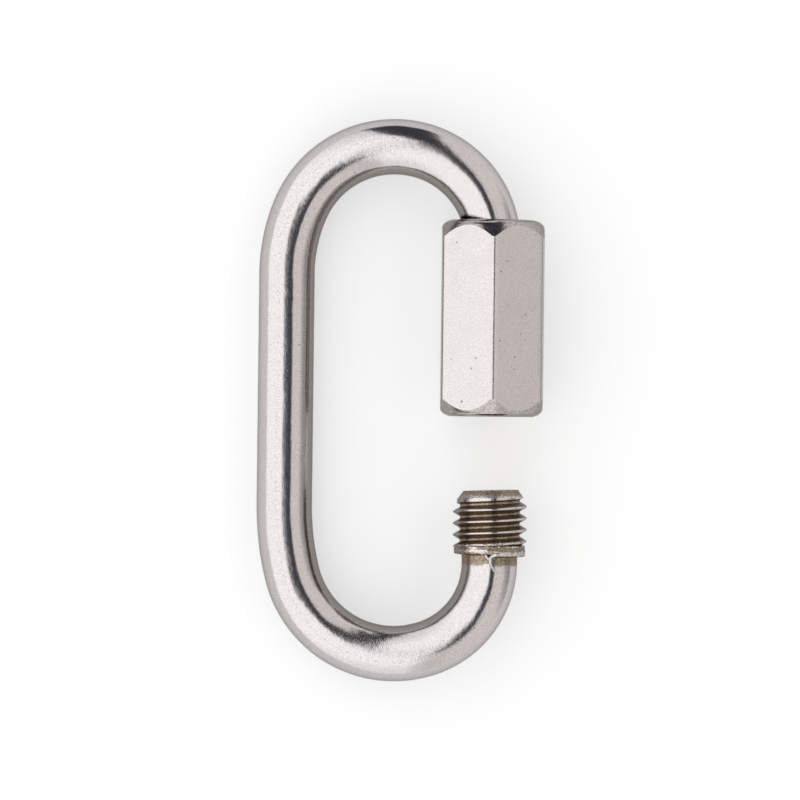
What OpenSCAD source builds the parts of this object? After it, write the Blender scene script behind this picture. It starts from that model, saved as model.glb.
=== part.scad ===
// Chain quick link: a wire link with one open side, closed by a long hexagon nut.
// It lies on its side. The back leg and a corner of the nut touch the ground.

/* [Wire] */
// Diameter of the bent wire
wire_d = 6; // [5:0.1:7]

/* [Link] */
// Length over the two bows
overall_length = 60.7; // [57:0.1:75]
// Distance between the axis of the back leg and the thread axis
leg_spacing = 22.2; // [20:0.1:26]

/* [Upper bow] */
// Centreline radius of the easy bend that leaves the back leg
upper_ease_r = 18; // [14:0.5:30]
// Turn of that easy bend in degrees
upper_ease_angle = 23; // [15:1:30]
// Centreline radius of the main bend over the bow
upper_bow_r = 11; // [9:0.1:13]
// Turn of that main bend in degrees
upper_bow_angle = 79; // [70:1:95]

/* [Lower bow] */
// Centreline radius of the easy bend that leaves the back leg
lower_ease_r = 31; // [20:0.5:40]
// Turn of that easy bend in degrees
lower_ease_angle = 14; // [8:1:20]
// Centreline radius of the main bend under the bow
lower_bow_r = 11.3; // [9:0.1:12.5]
// Turn of that main bend in degrees
lower_bow_angle = 98; // [85:1:105]

/* [Threaded ends] */
// Diameter over the thread crests
thread_d = 8; // [7.4:0.1:8.8]
// Distance between crests
thread_pitch = 1.25; // [1:0.05:1.5]
// Threaded length of the free end, from its tip to its collar
lower_thread_length = 5.85; // [4:0.05:8]
// Threaded length of the end that stays inside the nut
upper_thread_length = 7; // [4:0.5:14]
// Distance from the free end's tip to its first crest, on the upper side
first_crest_depth = 0.76; // [0:0.01:1.25]
// Diameter of the flat at the tips
tip_d = 6; // [5:0.1:7]
// Length over which a tip widens to the full thread
tip_length = 1.5; // [0.8:0.1:3]

/* [Collar] */
// Diameter of the collar that stops the nut
collar_d = 7.6; // [6.8:0.1:9]
// Thickness of the collar
collar_height = 1.05; // [0.6:0.05:2]
// Straight length that the dies grip below the collar
grip_length = 1; // [0.5:0.1:3]

/* [Nut] */
// Width across the flats
nut_across_flats = 11; // [10:0.1:13]
// Length of the nut
nut_length = 21.2; // [17:0.1:24]
// Diameter of the round face at each end
nut_face_d = 10.3; // [9.6:0.1:11]
// Length of the end chamfer along the nut's corners
nut_chamfer = 1.7; // [0.8:0.1:3]
// Depth of the countersink at each end of the bore
nut_lead_in = 0.3; // [0.1:0.05:0.5]

/* [Fits] */
// Radial play between the nut's bore and the thread crests
running_clearance = 0.05; // [0.02:0.01:0.1]
// Room between the bore and the upper bow where the nut stops
bend_clearance = 0.53; // [0.2:0.01:0.8]
// Depth of the upper tip inside the nut's lower face
tip_inset = 0.1; // [0.05:0.05:1]

/* [Hidden] */
$fn = 64;

wire_r = wire_d / 2;
bore_r = thread_d / 2 + running_clearance;
corner_r = nut_across_flats / 2 / cos(30);

// Metric thread form: depth and flats as shares of the pitch
thread_depth = 0.6134 * thread_pitch;
root_d = thread_d - 2 * thread_depth;
crest_flat = thread_pitch / 8;
root_flat = thread_pitch / 4;

// Facets round the thread, and the least distance between its rows of points
thread_sides = 24;
row_gap = thread_pitch / 60;

function thousandths(value) = round(value * 1000) / 1000;

// Radius of the last bend of a bow, which ends on the thread axis and parallel to the back leg
function closing_r(ease_r, ease_angle, bow_r, bow_angle) =
    let (turned = ease_angle + bow_angle)
    (leg_spacing - ease_r * (1 - cos(ease_angle)) - bow_r * (cos(ease_angle) - cos(turned)))
    / (1 + cos(turned));

// Height of a bow's centreline over the end of the back leg, at its top and where it ends
function bow_rise(ease_r, ease_angle, bow_r) =
    ease_r * sin(ease_angle) + bow_r * (1 - sin(ease_angle));
function bow_end(ease_r, ease_angle, bow_r, bow_angle) =
    let (turned = ease_angle + bow_angle)
    ease_r * sin(ease_angle) + bow_r * (sin(turned) - sin(ease_angle))
    - closing_r(ease_r, ease_angle, bow_r, bow_angle) * sin(turned);

// Places along the link, from the middle of its length
leg_top = thousandths(
    overall_length / 2 - wire_r - bow_rise(upper_ease_r, upper_ease_angle, upper_bow_r)
);
leg_bottom = thousandths(
    wire_r - overall_length / 2 + bow_rise(lower_ease_r, lower_ease_angle, lower_bow_r)
);
upper_end = leg_top + bow_end(upper_ease_r, upper_ease_angle, upper_bow_r, upper_bow_angle);
lower_end = leg_bottom - bow_end(lower_ease_r, lower_ease_angle, lower_bow_r, lower_bow_angle);
collar_bottom = lower_end + grip_length;
collar_top = collar_bottom + collar_height;
lower_tip = collar_top + lower_thread_length;

// The open nut is run up until the inside of the upper bow nears its bore
upper_closing_r = closing_r(upper_ease_r, upper_ease_angle, upper_bow_r, upper_bow_angle);
nut_top = upper_end
    + sqrt((upper_closing_r - wire_r) ^ 2 - (upper_closing_r - bore_r + bend_clearance) ^ 2);
nut_bottom = nut_top - nut_length;

// The upper end reaches down inside the nut: plain wire first, then the thread
plain_length = thousandths(upper_end - nut_bottom - tip_inset - upper_thread_length);
upper_thread_top = upper_end - plain_length;
upper_tip = upper_thread_top - upper_thread_length;

// Both ends carry the same helix, which passes the upper side here
crest_y = lower_tip - first_crest_depth;

// Lean of the lying link, at which the back leg and the nut's lowest corner are level
rest_lean = atan2(corner_r, leg_spacing) - asin(wire_r / norm([leg_spacing, corner_r]));
nut_reach = leg_spacing * cos(rest_lean) + corner_r * cos(30 - rest_lean);
middle_x = (nut_reach - wire_r) / 2;

// Turns and lifts the link from its own plane to the way it lies, centred over the origin
module lay_down() {
    translate([-middle_x, 0, wire_r])
        rotate([0, -rest_lean, 0])
            children();
}

module along_y() {
    rotate([-90, 0, 0])
        children();
}

// Moves by whole thousandths and then by the rest, so that lengths of wire meet without a step
module place(to) {
    near = [for (value = to) thousandths(value)];
    translate(near)
        translate(to - near)
            children();
}

// One bend of the wire about a centre, from a direction on round by an angle
module bend(centre, r, start, angle) {
    place(centre)
        rotate_extrude(angle = angle, start = start)
            place([r, 0])
                circle(d = wire_d);
}

// The three bends from the back leg round to the thread axis
module bow(ease_r, ease_angle, bow_r, bow_angle) {
    turned = ease_angle + bow_angle;
    last_r = closing_r(ease_r, ease_angle, bow_r, bow_angle);
    ease_centre = [ease_r, 0, 0];
    bow_centre = ease_centre + (ease_r - bow_r) * [-cos(ease_angle), sin(ease_angle), 0];
    last_centre = bow_centre + (bow_r - last_r) * [-cos(turned), sin(turned), 0];
    bend(ease_centre, ease_r, 180 - ease_angle, ease_angle);
    bend(bow_centre, bow_r, 180 - turned, bow_angle);
    bend(last_centre, last_r, 0, 180 - turned);
}

// Round length along the link, up from a place
module straight(x, y, d, length) {
    place([x, y, 0])
        along_y()
            cylinder(d = d, h = length);
}

// Radius of the thread on the side that is turned by an angle from the upper side, at a height
// over a crest there
function thread_radius(over_crest, angle) =
    let (
        turns = over_crest / thread_pitch - angle / 360,
        from_crest = abs(turns - round(turns)) * thread_pitch
    )
    lookup(from_crest, [
        [crest_flat / 2, thread_d / 2],
        [(thread_pitch - root_flat) / 2, root_d / 2]
    ]);
function tip_radius(from_tip) = tip_d / 2 + from_tip / tip_length * (thread_d - tip_d) / 2;

// Threaded end, up from its lower ring. Rows of points follow the edges of the crest and the root
// round the helix, and close up to flat rings at both ends. The heights of a crest and of the tip
// are from the lower ring too.
module threaded_end(length, crest, tip) {
    edges = [
        -crest_flat / 2,
        crest_flat / 2,
        (thread_pitch - root_flat) / 2,
        (thread_pitch + root_flat) / 2
    ];
    per_turn = len(edges);
    first_y = crest - (ceil(crest / thread_pitch) + 1) * thread_pitch;
    rows = per_turn * ceil((length - first_y + crest_flat / 2) / thread_pitch);
    last = thread_sides - 1;
    function helix_y(row, angle) =
        first_y + (floor(row / per_turn) + angle / 360) * thread_pitch + edges[row % per_turn];
    function row_y(row, angle) =
        max(row * row_gap, min(length - (rows - row) * row_gap, helix_y(row, angle)));
    function point(y, angle) =
        let (r = min(thread_radius(y - crest, angle), tip_radius(abs(tip - y))))
        [r * sin(angle), y, r * cos(angle)];
    function at(row, side) = side * (rows + 1) + row;
    polyhedron(
        points = [
            for (side = [0:last], row = [0:rows])
                let (angle = side * 360 / thread_sides)
                point(row_y(row, angle), angle)
        ],
        faces = [
            for (side = [0:last - 1], row = [0:rows - 1])
                [at(row, side), at(row + 1, side), at(row + 1, side + 1), at(row, side + 1)],
            for (row = [0:rows - per_turn - 1])
                [at(row, last), at(row + 1, last), at(row + per_turn + 1, 0), at(row + per_turn, 0)],
            for (row = [0:per_turn - 1])
                [at(0, last), at(row + 1, 0), at(row, 0)],
            for (row = [rows - per_turn:rows - 1])
                [at(row, last), at(row + 1, last), at(rows, 0)],
            [for (side = [0:last]) at(0, side)],
            [for (side = [last:-1:0]) at(rows, side)]
        ]
    );
}

// Wire link in one piece: back leg, two bows, and the two threaded ends that face each other
module link_body() {
    color("silver")
        lay_down() {
            straight(0, leg_bottom, wire_d, leg_top - leg_bottom);
            place([0, leg_top, 0])
                bow(upper_ease_r, upper_ease_angle, upper_bow_r, upper_bow_angle);
            place([0, leg_bottom, 0])
                mirror([0, 1, 0])
                    bow(lower_ease_r, lower_ease_angle, lower_bow_r, lower_bow_angle);
            straight(leg_spacing, upper_thread_top, wire_d, plain_length);
            straight(leg_spacing, lower_end, wire_d, grip_length);
            straight(leg_spacing, collar_bottom, collar_d, collar_height);
            place([leg_spacing, collar_top, 0])
                threaded_end(lower_thread_length, crest_y - collar_top, lower_thread_length);
            place([leg_spacing, upper_tip, 0])
                threaded_end(upper_thread_length, crest_y - upper_tip, 0);
        }
}

// What is turned off the hexagon's corners at the lower end: a ring round a ball
module turned_off() {
    face_r = nut_face_d / 2;
    ball_depth = (corner_r ^ 2 - face_r ^ 2 + nut_chamfer ^ 2) / (2 * nut_chamfer);
    ball_r = norm([face_r, ball_depth]);
    past_chamfer = 1.2 * nut_chamfer;
    difference() {
        translate([0, 0, -nut_chamfer])
            cylinder(r = 1.2 * corner_r, h = nut_chamfer + past_chamfer);
        translate([0, 0, ball_depth])
            sphere(r = ball_r);
    }
}

// Bore for the thread, with a countersink at each end that runs on past the face
module nut_bore() {
    outside_r = bore_r + 2 * nut_lead_in;
    rotate_extrude()
        polygon([
            [0, -nut_lead_in],
            [outside_r, -nut_lead_in],
            [bore_r, nut_lead_in],
            [bore_r, nut_length - nut_lead_in],
            [outside_r, nut_length + nut_lead_in],
            [0, nut_length + nut_lead_in]
        ]);
}

// Long hexagon nut, with a corner towards the upper side
module sleeve_nut() {
    color("gainsboro")
        lay_down()
            translate([leg_spacing, nut_bottom, 0])
                along_y()
                    difference() {
                        rotate([0, 0, 30])
                            cylinder(r = corner_r, h = nut_length, $fn = 6);
                        turned_off();
                        translate([0, 0, nut_length])
                            mirror([0, 0, 1])
                                turned_off();
                        nut_bore();
                    }
}

link_body();
sleeve_nut();
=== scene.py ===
"""Looks of an open chain quick link: a bent wire with threaded ends, and its long hexagon nut."""

import math

import bmesh
import bpy
from mathutils import Matrix, Vector, noise


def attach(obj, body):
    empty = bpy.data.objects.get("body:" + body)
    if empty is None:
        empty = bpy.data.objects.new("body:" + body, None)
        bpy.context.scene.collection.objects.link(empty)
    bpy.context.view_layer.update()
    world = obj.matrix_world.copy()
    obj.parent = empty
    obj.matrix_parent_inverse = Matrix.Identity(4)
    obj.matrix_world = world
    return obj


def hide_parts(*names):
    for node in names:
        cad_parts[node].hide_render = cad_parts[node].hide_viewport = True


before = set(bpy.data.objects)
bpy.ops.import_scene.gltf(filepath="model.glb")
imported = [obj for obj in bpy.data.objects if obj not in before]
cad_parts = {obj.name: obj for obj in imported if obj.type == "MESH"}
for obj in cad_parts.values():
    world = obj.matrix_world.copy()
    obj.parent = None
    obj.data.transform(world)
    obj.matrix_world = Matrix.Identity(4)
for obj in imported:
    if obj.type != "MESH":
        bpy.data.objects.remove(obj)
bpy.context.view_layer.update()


# Link body: one length of drawn round stainless wire. Its two ends were upset and thread-rolled
# between dies, then it was bent cold to an oval with one open side, and tumbled to a satin. The
# dies left a stop collar, a flash where they met, and brown oxide in the thread.

MM = 0.001
LEAN = math.radians(8.49931)  # the back leg and a corner of the nut lie on the ground
LEG_X = -12.4326  # where the back leg's axis lies
LEG_LENGTH = 24.899
WIRE_R = 3.0
WIRE_SIDES = 112
RING_GAP = 0.42  # between the rings of points along the wire
THREAD_X = 22.2  # from the back leg's axis to the thread's
LOWER_END = -17.5106
COLLAR_TOP = -15.4606
LOWER_TIP = -9.6106
UPPER_TIP = -1.5563
UPPER_THREAD_TOP = 5.4437
UPPER_STRAIGHT = 11.3
lower_bow = ((9.7254, 68), (11.3, 98), (31, 14))  # radius and degrees of each bend
upper_bow = ((18, 23), (11, 79), (10.5504, 78))

lie_down = (
    Matrix.Translation((LEG_X * MM, 0, WIRE_R * MM))
    @ Matrix.Rotation(-LEAN, 4, "Y")
    @ Matrix.Scale(MM, 4)
)


def add_layers(piece):
    """Layers that the steel reads: the place on the wire before it was bent in millimetres, how
    much of the dies' brown oxide is left, and how much the dies pitted the skin."""
    floats = piece.verts.layers.float
    return piece.verts.layers.float_vector.new("drawn"), floats.new("oxide"), floats.new("crushed")


def edges_of(made, key="geom"):
    """Edges among what an operator made."""
    return [g for g in made[key] if isinstance(g, bmesh.types.BMEdge)]


def verts_of(made):
    """Points among what an operator made."""
    return [g for g in made["geom"] if isinstance(g, bmesh.types.BMVert)]


def open_edges(made):
    """Edges of an extrusion that carry only one face so far."""
    return [e for e in edges_of(made) if len(e.link_faces) == 1]


def bend(ring, place, heading, along, radius, degrees):
    """Carries the wire round a bend to its right, ring by ring."""
    right = Vector((heading.y, -heading.x, 0))
    centre = place + radius * right
    turn = math.radians(degrees)
    steps = round(radius * turn / RING_GAP)
    before = len(link.verts)
    made = bmesh.ops.spin(link, geom=ring, cent=centre, axis=(0, 0, -1), angle=turn, steps=steps)
    link.verts.ensure_lookup_table()
    for i in range(before, len(link.verts)):
        step = (i - before) // WIRE_SIDES + 1
        link.verts[i][drawn].y = along + radius * turn * step / steps
    turned = Matrix.Rotation(-turn, 3, "Z")
    place = centre - turned @ (radius * right)
    return edges_of(made, "geom_last"), place, turned @ heading, along + radius * turn


def run(ring, place, heading, along, length):
    """Carries the wire straight on, ring by ring."""
    steps = round(length / RING_GAP)
    for step in range(1, steps + 1):
        made = bmesh.ops.extrude_edge_only(link, edges=ring)
        bmesh.ops.translate(link, verts=verts_of(made), vec=heading * length / steps)
        for v in verts_of(made):
            v[drawn].y = along + length * step / steps
        ring = open_edges(made)
    return ring, place + heading * length, heading, along + length


link = bmesh.new()
drawn, oxide, crushed = add_layers(link)
made = bmesh.ops.create_circle(
    link,
    segments=WIRE_SIDES,
    radius=WIRE_R,
    matrix=Matrix.Translation((THREAD_X, LOWER_END, 0)) @ Matrix.Rotation(math.pi / 2, 4, "X"),
)
for v in made["verts"]:
    v[drawn] = (v.co.x - THREAD_X, 0, v.co.z)
first_ring = list(link.edges)

end = (first_ring, Vector((THREAD_X, LOWER_END, 0)), Vector((0, -1, 0)), 0)
for radius, degrees in lower_bow:
    end = bend(*end, radius, degrees)
end = run(*end, LEG_LENGTH)
for radius, degrees in upper_bow:
    end = bend(*end, radius, degrees)
end = run(*end, UPPER_STRAIGHT)
bmesh.ops.holes_fill(link, edges=end[0], sides=0)


def clamp(value, most=1):
    """Holds a share between nothing and its most."""
    return max(0, min(most, value))


# Tumbling left the wire a little uneven, the bending tool pressed a shallow land along the front
# and back of the leg and a low ridge inside the lower bow, and the oxide ends just past the collar,
# sooner at the front's seam
UNEVEN, UNEVEN_SCALE = 0.012, 0.55
LAND_START, LAND_END, LAND_FADE = 25, 74, 3
land_steps = ((0.045, 0.36, 0.31), (-0.016, 0.35, -0.64))  # rise, half width and place across
RIDGE_RISE = 0.16
RIDGE_X, RIDGE_HALF = -2.28, 0.5
RIDGE_ALONG, RIDGE_LENGTH = 19.9, 1.8
OXIDE_END, OXIDE_FADE = 0.14, 0.7
BARE_X, BARE_HALF, BARE_BY = -0.35, 0.3, 0.4
link.normal_update()
for v in link.verts:
    v.co += v.normal * UNEVEN * noise.noise(v[drawn] * UNEVEN_SCALE)
    x, along, z = v[drawn]
    pressed = clamp(min((along - LAND_START) / LAND_FADE, (LAND_END - along) / LAND_FADE))
    for rise, half, middle in land_steps:
        v.co.z += rise * pressed * math.tanh((x - middle) / half) * z / WIRE_R
    off_ridge = ((x - RIDGE_X) / RIDGE_HALF) ** 2 + ((along - RIDGE_ALONG) / RIDGE_LENGTH) ** 2
    v.co.z += RIDGE_RISE * math.exp(-off_ridge) * z / WIRE_R
    reach = OXIDE_END
    if z > 0:
        reach -= BARE_BY * math.exp(-(((x - BARE_X) / BARE_HALF) ** 2))
    v[oxide] = clamp(0.5 + (reach - along) / OXIDE_FADE)

# The collar that the dies left: its right half is set a little lower than its left, its two rims
# are worn bright, and it keeps its oxide between them and along the seam of the dies
collar_profile = (  # radius, and height over the end of the wire
    (3.0, 0.2), (3.0, 0.4), (3.0, 0.6), (3.01, 0.78), (3.04, 0.92), (3.14, 1.0), (3.4, 1.01),
    (3.6, 1.015), (3.73, 1.05), (3.79, 1.12), (3.82, 1.21), (3.845, 1.31), (3.85, 1.41),
    (3.845, 1.50), (3.81, 1.60), (3.77, 1.69), (3.76, 1.78), (3.78, 1.88), (3.72, 1.98),
    (3.55, 2.03), (3.2, 2.03), (2.8, 2.03),
)
HALVES_X, HALVES_SOFT = 0.3, 0.08  # where the right half begins
DROP = 0.24
DROP_FOOT, DROP_FOOT_FADE = 0.6, 0.3
DROP_HEAD, DROP_HEAD_FADE = 1.8, 0.6
ROUGH, ROUGH_FROM_R = 0.085, 3.3
rough_sizes = ((1, 9, 3.2), (0.8, 23, 7))  # share, and how fine it is round the collar and up it
LOWER_RIM, LOWER_RIM_DROP, LOWER_RIM_HALF = 1.43, 0.13, 0.17
UPPER_RIM, UPPER_RIM_SHINE, UPPER_RIM_HALF = 1.9, 0.55, 0.12
SEAM_X, SEAM_HALF, SEAM_DULLS = 0.03, 0.11, 0.9
RIM_SHINE, ROUGH_SHINE = 1.15, 9
CRUSHED, CRUSHED_RIGHT = 0.5, 0.35
CRUSHED_FROM_R, CRUSHED_FADE = 3.1, 0.8
ring = first_ring
for radius, height in collar_profile:
    made = bmesh.ops.extrude_edge_only(link, edges=ring)
    for v in verts_of(made):
        out = Vector((v.co.x - THREAD_X, 0, v.co.z)).normalized()
        right_half = 1 / (1 + math.exp(-(out.x * WIRE_R - HALVES_X) / HALVES_SOFT))
        dropped = clamp(
            min((DROP_HEAD - height) / DROP_HEAD_FADE, (height - DROP_FOOT) / DROP_FOOT_FADE)
        )
        drop = DROP * right_half * dropped
        rough = sum(
            share * noise.noise(Vector((out.x * around, height * upwards, out.z * around)))
            for share, around, upwards in rough_sizes
        )
        rough *= ROUGH if radius > ROUGH_FROM_R else 0
        v.co = Vector((THREAD_X, LOWER_END + height - drop, 0)) + out * (radius + rough)
        v[drawn] = out * radius - Vector((0, height, 0))
        over_rim = height - LOWER_RIM + LOWER_RIM_DROP * right_half
        lower_rim = math.exp(-((over_rim / LOWER_RIM_HALF) ** 2))
        upper_rim = UPPER_RIM_SHINE * math.exp(-(((height - UPPER_RIM) / UPPER_RIM_HALF) ** 2))
        seam = math.exp(-(((out.x - SEAM_X) / SEAM_HALF) ** 4))
        bright = RIM_SHINE * max(lower_rim, upper_rim) * (1 - SEAM_DULLS * seam)
        v[oxide] = clamp(1 - (bright + ROUGH_SHINE * rough))
        v[crushed] = clamp(
            (radius - CRUSHED_FROM_R) / CRUSHED_FADE, CRUSHED + CRUSHED_RIGHT * right_half
        )
    ring = open_edges(made)
bmesh.ops.holes_fill(link, edges=ring, sides=0)

# Flash squeezed out where the dies met: a small bright fork that hangs from the collar's front.
# Each point gives the way across from the thread's axis, the height, the distance from the axis
# and half the bead's width.
flash = (
    (
        (-0.54, -16.30, 3.5, 0.14), (-0.47, -16.46, 3.25, 0.18), (-0.34, -16.70, 3.08, 0.2),
        (-0.18, -16.92, 3.03, 0.22), (-0.02, -17.1, 3.0, 0.16),
    ),
    (
        (1.0, -16.40, 3.84, 0.1), (0.66, -16.46, 3.82, 0.17), (0.38, -16.54, 3.62, 0.22),
        (0.15, -16.70, 3.25, 0.23), (0.01, -16.92, 3.06, 0.23), (0.02, -17.27, 3.02, 0.21),
        (0.15, -17.67, 3.0, 0.17), (0.36, -17.95, 3.0, 0.13), (0.50, -18.28, 3.0, 0.08),
    ),
)
FLASH_SIDES = 12
FLASH_UNEVEN, FLASH_UNEVEN_SCALE = 0.05, 3.1
FLASH_SEED = 1  # without it, noise_vector takes the clock
FLASH_CRUSHED = 0.4
noise.seed_set(FLASH_SEED)
for arm in flash:
    places = [Vector((THREAD_X + x, y, math.sqrt(away**2 - x**2))) for x, y, away, half in arm]
    sections = []
    for i, (x, y, away, half) in enumerate(arm):
        heading = (places[min(i + 1, len(arm) - 1)] - places[max(i - 1, 0)]).normalized()
        aside = heading.cross(Vector((0, 0, 1))).normalized()
        facing = Matrix((aside * half, aside.cross(heading) * half, heading)).transposed().to_4x4()
        sections.append(Matrix.Translation(places[i]) @ facing)
    made = bmesh.ops.create_circle(link, segments=FLASH_SIDES, radius=1, matrix=sections[0])
    bead = list(made["verts"])
    ring = [e for e in link.edges if e.verts[0] in bead and e.verts[1] in bead]
    ends = list(ring)
    for before, after in zip(sections, sections[1:]):
        made = bmesh.ops.extrude_edge_only(link, edges=ring)
        bmesh.ops.transform(link, matrix=after @ before.inverted(), verts=verts_of(made))
        ring = open_edges(made)
        bead += verts_of(made)
    bmesh.ops.holes_fill(link, edges=ends + ring, sides=0)
    for v in bead:
        v.co += FLASH_UNEVEN * noise.noise_vector(v.co * FLASH_UNEVEN_SCALE)
        v[drawn] = (v.co.x - THREAD_X, LOWER_END - v.co.y, v.co.z)
        v[oxide] = 0
        v[crushed] = FLASH_CRUSHED

# Both ends and the nut carry the same helix. Rolled thread form over one pitch, from the middle of
# a crest: radius and height.
PITCH = 1.25
CREST_Y = LOWER_TIP - 0.76  # height of a crest on the side that looks up
CREST_R = 4.0
ROOT_R = 3.233
male_form = (
    (CREST_R, 0), (CREST_R - 0.006, 0.045), (CREST_R - 0.035, 0.085), (3.8, 0.185), (3.6, 0.30),
    (3.4, 0.415), (3.27, 0.488), (ROOT_R + 0.006, 0.55), (ROOT_R, 0.625), (ROOT_R + 0.006, 0.70),
    (3.27, 0.762), (3.4, 0.835), (3.6, 0.95), (3.8, 1.065), (CREST_R - 0.035, 1.165),
    (CREST_R - 0.006, 1.205),
)


def roll_thread(low, high, form, steps):
    """Turns a thread form once round the thread's axis while it climbs one pitch."""
    first = CREST_Y + (math.floor((low - CREST_Y) / PITCH) - 2) * PITCH
    turns = math.ceil((high - first) / PITCH) + 1
    thread = bmesh.new()
    chain = [
        thread.verts.new((THREAD_X, first + turn * PITCH + height, radius))
        for turn in range(turns)
        for radius, height in form
    ]
    line = [thread.edges.new(pair) for pair in zip(chain, chain[1:])]
    bmesh.ops.spin(
        thread,
        geom=chain + line,
        cent=(THREAD_X, 0, 0),
        axis=(0, 1, 0),
        dvec=(0, PITCH / steps, 0),
        angle=2 * math.pi,
        steps=steps,
    )
    bmesh.ops.remove_doubles(thread, verts=thread.verts, dist=0.002)
    return thread


def cut(thread, height, tilt, keep_above):
    """Cuts a thread off at a height and gives the edges of the cut."""
    made = bmesh.ops.bisect_plane(
        thread,
        geom=list(thread.verts) + list(thread.edges) + list(thread.faces),
        dist=0.0005,
        plane_co=(THREAD_X, height, 0),
        plane_no=(math.sin(tilt), math.cos(tilt), 0),
        clear_inner=keep_above,
        clear_outer=not keep_above,
    )
    return edges_of(made, "geom_cut")


def join(thread, piece):
    """Moves a finished thread into the piece that carries it."""
    mesh = bpy.data.meshes.new("thread")
    thread.to_mesh(mesh)
    thread.free()
    piece.from_mesh(mesh)
    bpy.data.meshes.remove(mesh)


# Rolled ends: their crests are bare, their chamfered tips are a little askew and rubbed more on
# the left, and the last crest over the collar is torn
THREAD_SIDES = 112
INTO_COLLAR = 0.25
BARE_CREST, CREST_FADE = 0.02, 0.12
TIP_R = 2.94
TIP_SLOPE = 0.77
TIP_OFF = 0.12  # the chamfer is turned this far off the axis
TIP_TILT = math.radians(-1.4)
TIP_MOST = 3.58  # the dies didn't fill the first turn
FIRST_TURN, FILL_SLOPE = 1.3, 1.2
TIP_OXIDE, LIP_SHINE = 0.72, 0.3
RUB_START, RUB_FADE = 0.3, 0.4
left_rub = (0.42, 0.8, 0.12)  # how much was rubbed off, and the bright lip's start and fade
right_rub = (0.25, 0.5, 0.3)
TIP_CRUSHED, LIP_SMOOTHS = 0.5, 0.35
TORN_UP_TO, TORN_FADE, TORN_FROM_R = 0.6, 0.2, 3.6
TORN_DEPTH, TORN_SCALE, TORN_CRUSHED = 0.2, 2.9, 0.45
TORN_LEVEL, TORN_OXIDE_LEVEL = 0.15, 0.2
for low, high, tip in (
    (COLLAR_TOP - INTO_COLLAR, LOWER_TIP, LOWER_TIP),
    (UPPER_TIP, UPPER_THREAD_TOP, UPPER_TIP),
):
    thread = roll_thread(low, high, male_form, THREAD_SIDES)
    rim = cut(thread, low, 0, True) + cut(thread, high, TIP_TILT if tip == high else 0, False)
    bmesh.ops.holes_fill(thread, edges=rim, sides=0)
    drawn, oxide, crushed = add_layers(thread)
    for v in thread.verts:
        out = Vector((v.co.x - THREAD_X, 0, v.co.z))
        way = out.normalized()
        depth = abs(tip - v.co.y)
        most = min(
            TIP_R + TIP_OFF * way.x + depth * TIP_SLOPE,
            TIP_MOST + max(0, depth - FIRST_TURN) * FILL_SLOPE,
        )
        v[oxide] = clamp((CREST_R - BARE_CREST - out.length) / CREST_FADE)
        if out.length > most:
            v.co = Vector((THREAD_X, v.co.y, 0)) + way * most
            rub, lip_start, lip_fade = left_rub if out.x < 0 else right_rub
            rubbed = rub * clamp((depth - RUB_START) / RUB_FADE)
            lip = clamp((depth - lip_start) / lip_fade)
            v[oxide] = TIP_OXIDE - rubbed - LIP_SHINE * lip
            v[crushed] = TIP_CRUSHED - LIP_SMOOTHS * lip
        torn = clamp((COLLAR_TOP + TORN_UP_TO - v.co.y) / TORN_FADE)
        if torn > 0 and out.length > TORN_FROM_R:
            rough = noise.noise(v.co * TORN_SCALE)
            v.co += way * TORN_DEPTH * torn * min(0, rough - TORN_LEVEL)
            v[oxide] = max(v[oxide], torn * max(0, TORN_OXIDE_LEVEL - rough))
            v[crushed] = TORN_CRUSHED * torn
        v[drawn] = (v.co.x - THREAD_X, LOWER_END - v.co.y, v.co.z)
    join(thread, link)


def make_object(piece, name, sharp_degrees):
    """Lays a finished piece down and makes its object, smooth but for its sharp edges."""
    bmesh.ops.recalc_face_normals(piece, faces=piece.faces)
    bmesh.ops.transform(piece, matrix=lie_down, verts=piece.verts)
    mesh = bpy.data.meshes.new(name)
    piece.to_mesh(mesh)
    piece.free()
    mesh.shade_smooth()
    mesh.set_sharp_from_angle(angle=math.radians(sharp_degrees))
    made = bpy.data.objects.new(name, mesh)
    bpy.context.scene.collection.objects.link(made)
    return made


wire_link = make_object(link, "wire_link", sharp_degrees=48)


def to_linear(hex_colour):
    """sRGB hex to the linear colour that the shaders take."""
    parts = [int(hex_colour[i : i + 2], 16) / 255 for i in (1, 3, 5)]
    return [p / 12.92 if p <= 0.04045 else ((p + 0.055) / 1.055) ** 2.4 for p in parts] + [1]


def add(tree, kind, inputs, **settings):
    """Adds a node with its settings, its values and the sockets that feed it."""
    made = tree.nodes.new("ShaderNode" + kind)
    for name, value in settings.items():
        setattr(made, name, value)
    for name, value in inputs.items():
        if isinstance(value, bpy.types.NodeSocket):
            tree.links.new(value, made.inputs[name])
        else:
            made.inputs[name].default_value = value
    return made.outputs


# Tumbled stainless steel: a satin whose fine dents fleck the edges of reflections, with small dark
# pits, a dotted drawing line, painted shade on the inside of the wire and, at the threaded
# ends, a brown oxide that the crests have lost. The dents are really about 0.05 mm wide, and are
# drawn about three times as wide to show. All sizes are in millimetres.
DENT, DENT_DEPTH = 0.17, 0.0036
DENT_STRETCH = (0.8, 1.5, 0.8)  # the dents are longer across the wire than along it
DENT_EDGE, DENT_FLOOR = 0.5, 0.8  # levels of the noise: the skin is smooth between the dents
FLECK = 0.085
RIPPLE, RIPPLE_HEIGHT = 0.9, 0.012
CRUMB, CRUMB_HEIGHT = 0.26, 0.17
PIT_GAP, PIT_DEPTH = 1.3, 0.015
PIT_SPREAD, PIT_FLOOR, PIT_RIM = 0.16, -0.085, -0.05  # shares of the gap: only some cells hold one
LINE_ACROSS = 0.86  # where the drawing line runs on the wire's outer front
# Painted shade: the skin is darker on the inside of the wire, for the shadowed table it reflects
INNER_SHADE_FROM, INNER_SHADE_TO = -1.98, -2.5  # across the wire, on the inside of its bends
INNER_SHADE_PATCHY, OXIDE_PATCHY = 0.9, 1.3  # how far the crumbs break up the edges of both
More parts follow.
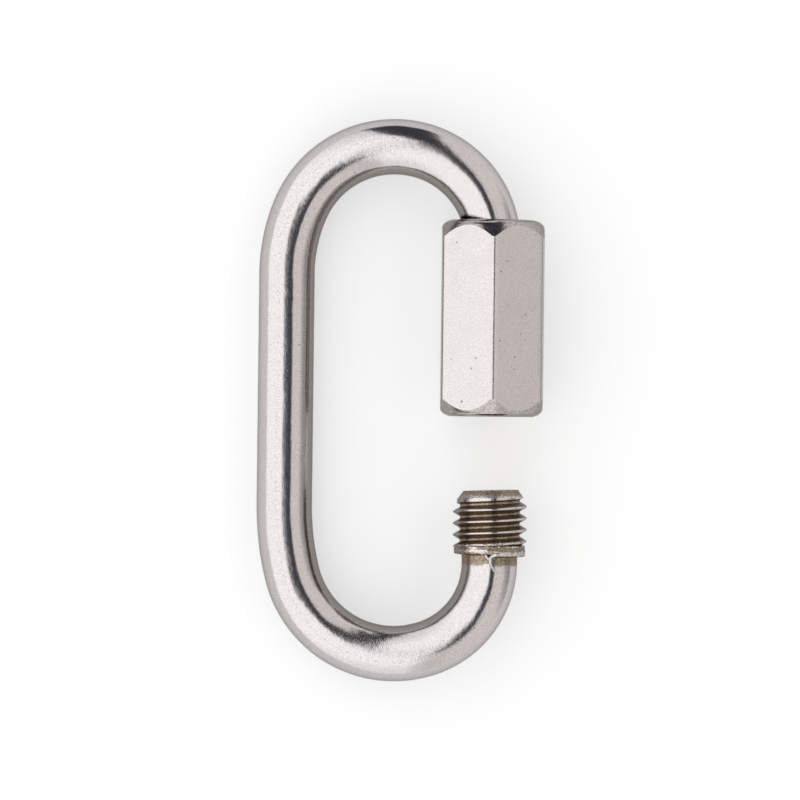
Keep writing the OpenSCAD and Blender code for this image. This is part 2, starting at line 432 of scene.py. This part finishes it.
MARK_SHADE = 0.7
OXIDE_ROUGHNESS = 0.28
GRAZING = "#C4C2C2"  # the dents dim its grazing shine
steel = bpy.data.materials.new("tumbled stainless steel")
steel.use_nodes = True
tree = steel.node_tree
shader = tree.nodes["Principled BSDF"]
on_wire = add(tree, "Attribute", {}, attribute_name="drawn")["Vector"]
browned = add(tree, "Attribute", {}, attribute_name="oxide")["Fac"]
pitted = add(tree, "Attribute", {}, attribute_name="crushed")["Fac"]
stretched = add(tree, "Mapping", {"Vector": on_wire, "Scale": DENT_STRETCH})["Vector"]
dents = add(tree, "TexNoise", {"Vector": stretched, "Scale": 1 / DENT, "Detail": 2.0})["Fac"]
dents = add(
    tree, "MapRange", {"Value": dents, "From Min": DENT_EDGE, "From Max": DENT_FLOOR},
)["Result"]
flecks = add(
    tree, "TexNoise", {"Vector": on_wire, "Scale": 1 / FLECK, "Detail": 2.0, "Roughness": 0.7},
)["Fac"]
ripple = add(tree, "TexNoise", {"Vector": on_wire, "Scale": 1 / RIPPLE, "Detail": 1.0})["Fac"]
crumbs = add(tree, "TexNoise", {"Vector": on_wire, "Scale": 1 / CRUMB, "Detail": 2.0})["Fac"]
cells = add(tree, "TexVoronoi", {"Vector": on_wire, "Scale": 1 / PIT_GAP})
pits = add(
    tree, "Math", {0: cells["Color"], 1: -PIT_SPREAD, 2: cells["Distance"]},
    operation="MULTIPLY_ADD",
)["Value"]
pits = add(
    tree, "MapRange",
    {"Value": pits, "From Min": PIT_FLOOR, "From Max": PIT_RIM, "To Min": 1, "To Max": 0},
    interpolation_type="SMOOTHSTEP",
)["Result"]
ring_place = add(tree, "SeparateXYZ", {"Vector": on_wire})
off_line = add(tree, "Math", {0: ring_place["X"], 1: LINE_ACROSS}, operation="SUBTRACT")["Value"]
off_line = add(tree, "Math", {0: off_line}, operation="ABSOLUTE")["Value"]
line = add(
    tree, "MapRange",
    {"Value": off_line, "From Min": 0.03, "From Max": 0.13, "To Min": 1, "To Max": 0},
)["Result"]
dots = add(tree, "MapRange", {"Value": crumbs, "From Min": 0.54, "From Max": 0.66})["Result"]
line = add(tree, "Math", {0: line, 1: dots}, operation="MULTIPLY")["Value"]
in_front = add(
    tree, "MapRange", {"Value": ring_place["Z"], "From Min": 0, "From Max": 0.1, "To Max": 0.45},
)["Result"]
line = add(tree, "Math", {0: line, 1: in_front}, operation="MULTIPLY")["Value"]
marks = add(tree, "Math", {0: pits, 1: line}, operation="MAXIMUM")["Value"]

# Skin: light and dull flecks, painted shade on the inside of the wire, dark in the marks
flecked = add(tree, "MapRange", {"Value": flecks, "From Min": 0.34, "From Max": 0.6})["Result"]
skin = add(
    tree, "Mix", {0: flecked, 6: to_linear("#A9A4A3"), 7: to_linear("#CCC7C7")}, data_type="RGBA",
)[2]
# Painted shade on the inside of the wire, broken up by the crumbs
painted_inner_shade = add(
    tree, "MapRange",
    {"Value": ring_place["X"], "From Min": INNER_SHADE_FROM, "From Max": INNER_SHADE_TO},
)["Result"]
painted_inner_shade = add(
    tree, "Math", {0: crumbs, 1: INNER_SHADE_PATCHY, 2: painted_inner_shade}, operation="MULTIPLY_ADD",
)["Value"]
painted_inner_shade = add(
    tree, "MapRange", {"Value": painted_inner_shade, "From Min": 0.75, "From Max": 1.4, "To Max": 0.9},
)["Result"]
skin = add(tree, "Mix", {0: painted_inner_shade, 6: skin, 7: to_linear("#8C8682")}, data_type="RGBA")[2]
marked = add(tree, "Math", {0: marks, 1: MARK_SHADE}, operation="MULTIPLY")["Value"]
skin = add(tree, "Mix", {0: marked, 6: skin, 7: to_linear("#5E5856")}, data_type="RGBA")[2]

# Oxide: crumbly brown, gone where it wore off
mottled = add(tree, "MapRange", {"Value": crumbs, "From Min": 0.36, "From Max": 0.64})["Result"]
brown = add(
    tree, "Mix", {0: mottled, 6: to_linear("#716354"), 7: to_linear("#988A7B")}, data_type="RGBA",
)[2]
left_on = add(
    tree, "Math", {0: crumbs, 1: OXIDE_PATCHY, 2: browned}, operation="MULTIPLY_ADD",
)["Value"]
left_on = add(
    tree, "MapRange", {"Value": left_on, "From Min": 0.95, "From Max": 1.3},
    interpolation_type="SMOOTHSTEP",
)["Result"]
colour = add(tree, "Mix", {0: left_on, 6: skin, 7: brown}, data_type="RGBA")[2]
tree.links.new(colour, shader.inputs["Base Color"])
satin = add(
    tree, "MapRange",
    {"Value": flecks, "From Min": 0.3, "From Max": 0.7, "To Min": 0.17, "To Max": 0.10},
)["Result"]
satin = add(tree, "Mix", {0: left_on, 2: satin, 3: OXIDE_ROUGHNESS})[0]
tree.links.new(satin, shader.inputs["Roughness"])

height = add(tree, "Math", {0: dents, 1: -DENT_DEPTH}, operation="MULTIPLY")["Value"]
height = add(
    tree, "Math", {0: ripple, 1: RIPPLE_HEIGHT, 2: height}, operation="MULTIPLY_ADD",
)["Value"]
height = add(tree, "Math", {0: marks, 1: -PIT_DEPTH, 2: height}, operation="MULTIPLY_ADD")["Value"]
crumbling = add(tree, "Math", {0: crumbs, 1: pitted}, operation="MULTIPLY")["Value"]
height = add(
    tree, "Math", {0: crumbling, 1: CRUMB_HEIGHT, 2: height}, operation="MULTIPLY_ADD",
)["Value"]
bump = add(tree, "Bump", {"Height": height, "Strength": 1.0, "Distance": MM})["Normal"]
tree.links.new(bump, shader.inputs["Normal"])
shader.inputs["Metallic"].default_value = 1.0
shader.inputs["Specular Tint"].default_value = to_linear(GRAZING)
wire_link.data.materials.append(steel)
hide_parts("link_body")
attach(wire_link, "link")


# Sleeve nut: a long hexagon nut of drawn stainless bar, cut off, turned to a chamfer at both ends,
# drilled and tapped, then tumbled with the links. It screws along the wire's upper end.

NUT_BOTTOM = -1.6563
NUT_TOP = 19.5437
ACROSS_FLATS = 11.0
CORNER_R = ACROSS_FLATS / 2 / math.cos(math.pi / 6)
CORNER_EASE = 0.36
CHAMFER_SLOPE = 0.6
SCALLOP_TOP = 0.66  # how far below the end the cone leaves the middle of a flat
BOTTOM_LEAD = 0.45  # how far inside each end the thread starts
TOP_LEAD = 1.1
STEP_R = 4.15  # the thread starts at a flat step, which clears the wire's thread
COUNTERSINK_R = 4.35
TAPPED_SIDES = 72
EASE_CUTS, FLAT_CUTS, ROWS = 8, 17, 10

# Rounded end inside the cone, with two fine lines that the lathe left: radius and depth
end_profile = (
    (5.44, 0.56), (5.36, 0.46), (5.29, 0.385), (5.27, 0.40), (5.23, 0.385), (5.21, 0.31),
    (5.1, 0.235), (4.95, 0.155), (4.8, 0.095), (4.76, 0.105), (4.72, 0.10), (4.70, 0.06),
    (4.55, 0.02), (4.45, 0),
)

# Tapped thread over one pitch, from the middle of a groove: it clears the rolled one all round
female_form = (
    (4.08, 0), (4.06, 0.08), (3.97, 0.145), (3.65, 0.33), (3.34, 0.51), (3.32, 0.555),
    (3.32, 0.695), (3.34, 0.74), (3.65, 0.92), (3.97, 1.105), (4.06, 1.17),
)
tapped = roll_thread(NUT_BOTTOM + BOTTOM_LEAD, NUT_TOP - TOP_LEAD, female_form, TAPPED_SIDES)
for face, start, keep_above in (
    (NUT_BOTTOM, NUT_BOTTOM + BOTTOM_LEAD, True),
    (NUT_TOP, NUT_TOP - TOP_LEAD, False),
):
    ring = cut(tapped, start, 0, keep_above)
    for radius, height in ((STEP_R, start), (COUNTERSINK_R, face)):
        made = bmesh.ops.extrude_edge_only(tapped, edges=ring)
        for v in verts_of(made):
            out = Vector((v.co.x - THREAD_X, 0, v.co.z)).normalized()
            v.co = Vector((THREAD_X, height, 0)) + out * radius
        ring = open_edges(made)

nut = bmesh.new()
turned = nut.faces.layers.float.new("turned")  # 1 where the lathe cut
bmesh.ops.create_circle(
    nut,
    segments=6,
    radius=CORNER_R,
    matrix=Matrix.Translation((THREAD_X, 0, 0)) @ Matrix.Rotation(math.pi / 2, 4, "X"),
)
bmesh.ops.bevel(
    nut,
    geom=list(nut.verts),
    offset=CORNER_EASE,
    offset_type="OFFSET",
    affect="VERTICES",
    segments=EASE_CUTS,
    profile=0.5,
    material=-1,
)
flats = sorted(nut.edges, key=lambda e: -e.calc_length())[:6]
bmesh.ops.subdivide_edges(nut, edges=flats, cuts=FLAT_CUTS)


def lift(ring, move, by_lathe):
    """Extrudes a ring of the nut and moves each new point, given its radius and height."""
    made = bmesh.ops.extrude_edge_only(nut, edges=ring)
    for v in verts_of(made):
        out = Vector((v.co.x - THREAD_X, 0, v.co.z))
        radius, height = move(out.length, v.co.y)
        v.co = Vector((THREAD_X, height, 0)) + out.normalized() * radius
    ring = open_edges(made)
    for e in ring:
        e.link_faces[0][turned] = by_lathe
    return ring


def scallop(radius):
    """Depth of the arc in which the lathe's cone meets the flats: most at the corners."""
    return SCALLOP_TOP + (radius - ACROSS_FLATS / 2) / CHAMFER_SLOPE


for v in nut.verts:
    v.co.y = NUT_BOTTOM + scallop(math.hypot(v.co.x - THREAD_X, v.co.z))
lower_arc = ring = list(nut.edges)
for row in range(1, ROWS + 1):
    ring = lift(
        ring,
        lambda radius, height: (
            radius,
            NUT_BOTTOM
            + scallop(radius)
            + (NUT_TOP - NUT_BOTTOM - 2 * scallop(radius)) * row / ROWS,
        ),
        0,
    )
for face, into, ring in ((NUT_BOTTOM, 1, lower_arc), (NUT_TOP, -1, ring)):
    rim_r, rim_depth = end_profile[0]
    for part in (1 / 3, 1 / 2, 1):
        ring = lift(
            ring,
            lambda radius, height: (
                radius + (rim_r - radius) * part,
                height + (face + into * rim_depth - height) * part,
            ),
            1,
        )
    for radius, depth in end_profile[1:]:
        ring = lift(ring, lambda old_radius, old_height: (radius, face + into * depth), 1)
join(tapped, nut)
for face in (NUT_BOTTOM, NUT_TOP):
    bmesh.ops.bridge_loops(
        nut,
        edges=[e for e in nut.edges if e.is_boundary and abs(e.verts[0].co.y - face) < 0.001],
    )
hexagon_nut = make_object(nut, "hexagon_nut", sharp_degrees=22)

# Tumbled stainless bar: the same satin as the wire's, a little cloudy, with more small pits on its
# flats. The turned ends are duller and greyer, because the tumbling wore them less.
BAR_DENT_HEIGHT = 0.008
BAR_CRUMB, BAR_CRUMB_HEIGHT = 0.2, 0.012
BAR_PIT_GAP, BAR_PIT_SPREAD = 0.95, 0.23
CLOUD = 2.2
TURNED_ROUGHNESS = 0.15
bar = bpy.data.materials.new("tumbled stainless bar")
bar.use_nodes = True
tree = bar.node_tree
shader = tree.nodes["Principled BSDF"]
here = add(tree, "TexCoord", {})["Object"]
lathe = add(tree, "Attribute", {}, attribute_name="turned")["Fac"]
dents = add(tree, "TexNoise", {"Vector": here, "Scale": 1 / (DENT * MM), "Detail": 2.0})["Fac"]
flecks = add(
    tree, "TexNoise",
    {"Vector": here, "Scale": 1 / (FLECK * MM), "Detail": 2.0, "Roughness": 0.7},
)["Fac"]
clouds = add(tree, "TexNoise", {"Vector": here, "Scale": 1 / (CLOUD * MM), "Detail": 2.0})["Fac"]
crumbs = add(
    tree, "TexNoise", {"Vector": here, "Scale": 1 / (BAR_CRUMB * MM), "Detail": 2.0},
)["Fac"]
cells = add(tree, "TexVoronoi", {"Vector": here, "Scale": 1 / (BAR_PIT_GAP * MM)})
pits = add(
    tree, "Math", {0: cells["Color"], 1: -BAR_PIT_SPREAD, 2: cells["Distance"]},
    operation="MULTIPLY_ADD",
)["Value"]
pits = add(
    tree, "MapRange",
    {"Value": pits, "From Min": PIT_FLOOR, "From Max": PIT_RIM, "To Min": 1, "To Max": 0},
    interpolation_type="SMOOTHSTEP",
)["Result"]

# Skin: light and dull flecks, duller in the clouds, dark in the pits, and grey at the turned ends
flecked = add(tree, "MapRange", {"Value": flecks, "From Min": 0.34, "From Max": 0.6})["Result"]
skin = add(
    tree, "Mix", {0: flecked, 6: to_linear("#ABA6A4"), 7: to_linear("#CBC6C6")}, data_type="RGBA",
)[2]
clouded = add(
    tree, "MapRange",
    {"Value": clouds, "From Min": 0.45, "From Max": 0.75, "To Min": 0, "To Max": 0.3},
)["Result"]
skin = add(tree, "Mix", {0: clouded, 6: skin, 7: to_linear("#B1ABA9")}, data_type="RGBA")[2]
marked = add(tree, "Math", {0: pits, 1: MARK_SHADE}, operation="MULTIPLY")["Value"]
skin = add(tree, "Mix", {0: marked, 6: skin, 7: to_linear("#575150")}, data_type="RGBA")[2]
mottled = add(tree, "MapRange", {"Value": crumbs, "From Min": 0.35, "From Max": 0.65})["Result"]
dull = add(
    tree, "Mix", {0: mottled, 6: to_linear("#938D8A"), 7: to_linear("#B8B2AF")}, data_type="RGBA",
)[2]
colour = add(tree, "Mix", {0: lathe, 6: skin, 7: dull}, data_type="RGBA")[2]
tree.links.new(colour, shader.inputs["Base Color"])
satin = add(
    tree, "MapRange",
    {"Value": flecks, "From Min": 0.3, "From Max": 0.7, "To Min": 0.26, "To Max": 0.15},
)["Result"]
satin = add(tree, "Mix", {0: lathe, 2: satin, 3: TURNED_ROUGHNESS})[0]
tree.links.new(satin, shader.inputs["Roughness"])

height = add(tree, "Math", {0: dents, 1: BAR_DENT_HEIGHT}, operation="MULTIPLY")["Value"]
height = add(tree, "Math", {0: pits, 1: -PIT_DEPTH, 2: height}, operation="MULTIPLY_ADD")["Value"]
crumbling = add(tree, "Math", {0: crumbs, 1: lathe}, operation="MULTIPLY")["Value"]
height = add(
    tree, "Math", {0: crumbling, 1: BAR_CRUMB_HEIGHT, 2: height}, operation="MULTIPLY_ADD",
)["Value"]
bump = add(tree, "Bump", {"Height": height, "Strength": 1.0, "Distance": MM})["Normal"]
tree.links.new(bump, shader.inputs["Normal"])
shader.inputs["Metallic"].default_value = 1.0
shader.inputs["Specular Tint"].default_value = to_linear(GRAZING)
hexagon_nut.data.materials.append(bar)
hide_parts("sleeve_nut")
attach(hexagon_nut, "nut")


# Studio: an opal table inside a tent of two pale walls, with a dark gap between them through which
# the camera looks, and two dark cards. The left wall is the brighter one.

TABLE_HALF = 8  # in metres, so that its edge is out of every view
floor_mesh = bpy.data.meshes.new("table")
table = bmesh.new()
bmesh.ops.create_grid(table, x_segments=1, y_segments=1, size=TABLE_HALF)
table.to_mesh(floor_mesh)
table.free()
floor = bpy.data.objects.new("table", floor_mesh)
bpy.context.scene.collection.objects.link(floor)

# Opal acrylic: matt, with a glow that lifts its white and softens the shadow
GLOW = 0.48
opal = bpy.data.materials.new("opal acrylic")
opal.use_nodes = True
tree = opal.node_tree
tree.nodes.clear()
path = add(tree, "LightPath", {})
seen = add(
    tree, "Math", {0: path["Is Camera Ray"], 1: path["Is Glossy Ray"]}, operation="MAXIMUM",
)["Value"]
seen = add(tree, "Math", {0: seen, 1: path["Is Transmission Ray"]}, operation="MAXIMUM")["Value"]
glow = add(tree, "Math", {0: seen, 1: GLOW}, operation="MULTIPLY")["Value"]
glow = add(tree, "Emission", {"Color": to_linear("#FFFFFF"), "Strength": glow})["Emission"]
matt = add(tree, "BsdfDiffuse", {"Color": to_linear("#B6B6B6")})["BSDF"]
both = add(tree, "AddShader", {0: matt, 1: glow})["Shader"]
add(tree, "OutputMaterial", {"Surface": both})
floor_mesh.materials.append(opal)

# Flags: a near and a far dark card that stand beyond the upper bow. They are there for the steel to
# reflect, so they are out of the camera's sight and dim nothing else. Each has its distance from
# the middle of the link, and its outline across and up.
flag_outlines = {
    55: (
        (0.5, 0), (22.5, 0), (23.5, 8), (27, 18), (30, 26), (33, 34), (33, 42), (16, 42), (13, 32),
        (10, 28.5), (7, 20), (4.3, 10),
    ),
    122: (
        (-5, 0), (50, 0), (52, 40), (58, 70), (62, 125), (50, 160), (32, 140), (21, 95), (12, 55),
        (4, 30),
    ),
}
flag_mesh = bpy.data.meshes.new("flag")
card = bmesh.new()
for away, outline in flag_outlines.items():
    card.faces.new([card.verts.new((x, away, z)) for x, z in outline])
bmesh.ops.transform(card, matrix=lie_down, verts=card.verts)
card.to_mesh(flag_mesh)
card.free()
flag = bpy.data.objects.new("flag", flag_mesh)
bpy.context.scene.collection.objects.link(flag)
flag.visible_camera = flag.visible_diffuse = flag.visible_shadow = False

# Black felt: it glows a dark grey, a painted stand-in for the little of the room's light on it
FELT = "#46474E"
felt_glow = bpy.data.materials.new("black felt")
felt_glow.use_nodes = True
tree = felt_glow.node_tree
tree.nodes.clear()
lit = add(tree, "Emission", {"Color": to_linear(FELT), "Strength": 1.0})["Emission"]
add(tree, "OutputMaterial", {"Surface": lit})
flag_mesh.materials.append(felt_glow)

# Tent: its parts are told apart by how far a ray points to the link's right and to its top
world = bpy.data.worlds.new("light tent")
bpy.context.scene.world = world
world.use_nodes = True
tree = world.node_tree
tree.nodes.clear()
looking = Vector((-math.sin(LEAN), 0, math.cos(LEAN)))  # from the link up to the camera
across = Vector((math.cos(LEAN), 0, math.sin(LEAN)))
ray = add(tree, "TexCoord", {})["Generated"]
to_right = add(tree, "VectorMath", {0: ray, 1: across}, operation="DOT_PRODUCT")["Value"]
to_top = add(tree, "SeparateXYZ", {"Vector": ray})["Y"]

# The gap: narrower at its foot and its head, almost closed below its foot, and ended where the
# flags begin
LEFT_EDGE, LEFT_EDGE_AT_FOOT = 0.06, 0.14
RIGHT_EDGE = 0.385
NARROWER_AT_HEAD = 0.03
SOFT = 0.025
CLOSED = 0.1
left_edge = add(
    tree, "MapRange",
    {
        "Value": to_top, "From Min": -0.28, "From Max": -0.05,
        "To Min": LEFT_EDGE_AT_FOOT, "To Max": LEFT_EDGE,
    },
)["Result"]
narrower = add(
    tree, "MapRange",
    {"Value": to_top, "From Min": 0.1, "From Max": 0.45, "To Max": NARROWER_AT_HEAD},
)["Result"]
left_edge = add(tree, "Math", {0: left_edge, 1: narrower}, operation="ADD")["Value"]
from_left = add(tree, "Math", {0: to_right, 1: left_edge}, operation="SUBTRACT")["Value"]
from_left = add(
    tree, "MapRange", {"Value": from_left, "From Min": -SOFT, "From Max": SOFT},
    interpolation_type="SMOOTHSTEP",
)["Result"]
from_right = add(tree, "Math", {0: to_right, 1: narrower}, operation="ADD")["Value"]
from_right = add(
    tree, "MapRange",
    {"Value": from_right, "From Min": RIGHT_EDGE + SOFT, "From Max": RIGHT_EDGE - SOFT},
    interpolation_type="SMOOTHSTEP",
)["Result"]
from_foot = add(
    tree, "MapRange", {"Value": to_top, "From Min": -0.58, "From Max": -0.36, "To Min": CLOSED},
    interpolation_type="SMOOTHSTEP",
)["Result"]
from_head = add(
    tree, "MapRange", {"Value": to_top, "From Min": 0.9, "From Max": 0.8},
    interpolation_type="SMOOTHSTEP",
)["Result"]
gap = add(tree, "Math", {0: from_left, 1: from_foot}, operation="MULTIPLY")["Value"]
gap = add(tree, "Math", {0: gap, 1: from_head}, operation="MULTIPLY")["Value"]
gap = add(tree, "Math", {0: gap, 1: from_right}, operation="MULTIPLY")["Value"]

# The walls: the left one is dimmer at its top and its foot, and the right one at its far end
LEFT_LIGHT, LEFT_LIGHT_AT_TOP, LEFT_SHARE_AT_FOOT = 1.66, 1.2, 0.82
RIGHT_LIGHT, RIGHT_LIGHT_AT_END = 1.07, 0.5
right_wall = add(
    tree, "MapRange", {"Value": to_right, "From Min": 0.13, "From Max": 0.2},
)["Result"]
left_level = add(
    tree, "MapRange",
    {
        "Value": to_top, "From Min": 0.6, "From Max": 0.97,
        "To Min": LEFT_LIGHT, "To Max": LEFT_LIGHT_AT_TOP,
    },
)["Result"]
low_level = add(
    tree, "MapRange",
    {
        "Value": to_top, "From Min": -0.95, "From Max": -0.7,
        "To Min": LEFT_SHARE_AT_FOOT, "To Max": 1,
    },
)["Result"]
left_level = add(tree, "Math", {0: left_level, 1: low_level}, operation="MULTIPLY")["Value"]
right_level = add(
    tree, "MapRange",
    {
        "Value": to_right, "From Min": 0.86, "From Max": 0.98,
        "To Min": RIGHT_LIGHT, "To Max": RIGHT_LIGHT_AT_END,
    },
)["Result"]
left_light = add(
    tree, "Background", {"Color": to_linear("#FFFFFF"), "Strength": left_level},
)["Background"]
right_light = add(
    tree, "Background", {"Color": to_linear("#FFFCF9"), "Strength": right_level},
)["Background"]
dark = add(tree, "Background", {"Color": to_linear(FELT), "Strength": 1.0})["Background"]
light = add(tree, "MixShader", {"Fac": right_wall, 1: left_light, 2: right_light})["Shader"]
light = add(tree, "MixShader", {"Fac": gap, 1: light, 2: dark})["Shader"]
add(tree, "OutputWorld", {"Surface": light})

# Camera: square on to the link's plane, with the small roll of the photograph
ROLL = 0.0120
DISTANCE = 0.6
FRAME_WIDTH = 86.34 * MM
SENSOR = 36
aim = lie_down @ Vector((12.355, 0.025, 0))
right = across * math.cos(ROLL) + Vector((0, math.sin(ROLL), 0))
up = Vector((0, math.cos(ROLL), 0)) - across * math.sin(ROLL)
camera_data = bpy.data.cameras.new("camera")
camera_data.sensor_width = SENSOR
camera_data.lens = SENSOR * DISTANCE / FRAME_WIDTH
camera = bpy.data.objects.new("camera", camera_data)
bpy.context.scene.collection.objects.link(camera)
stand = Matrix.Translation(aim + looking * DISTANCE)
camera.matrix_world = stand @ Matrix((right, up, looking)).transposed().to_4x4()
bpy.context.scene.camera = camera
bpy.context.scene.view_settings.view_transform = "Standard"
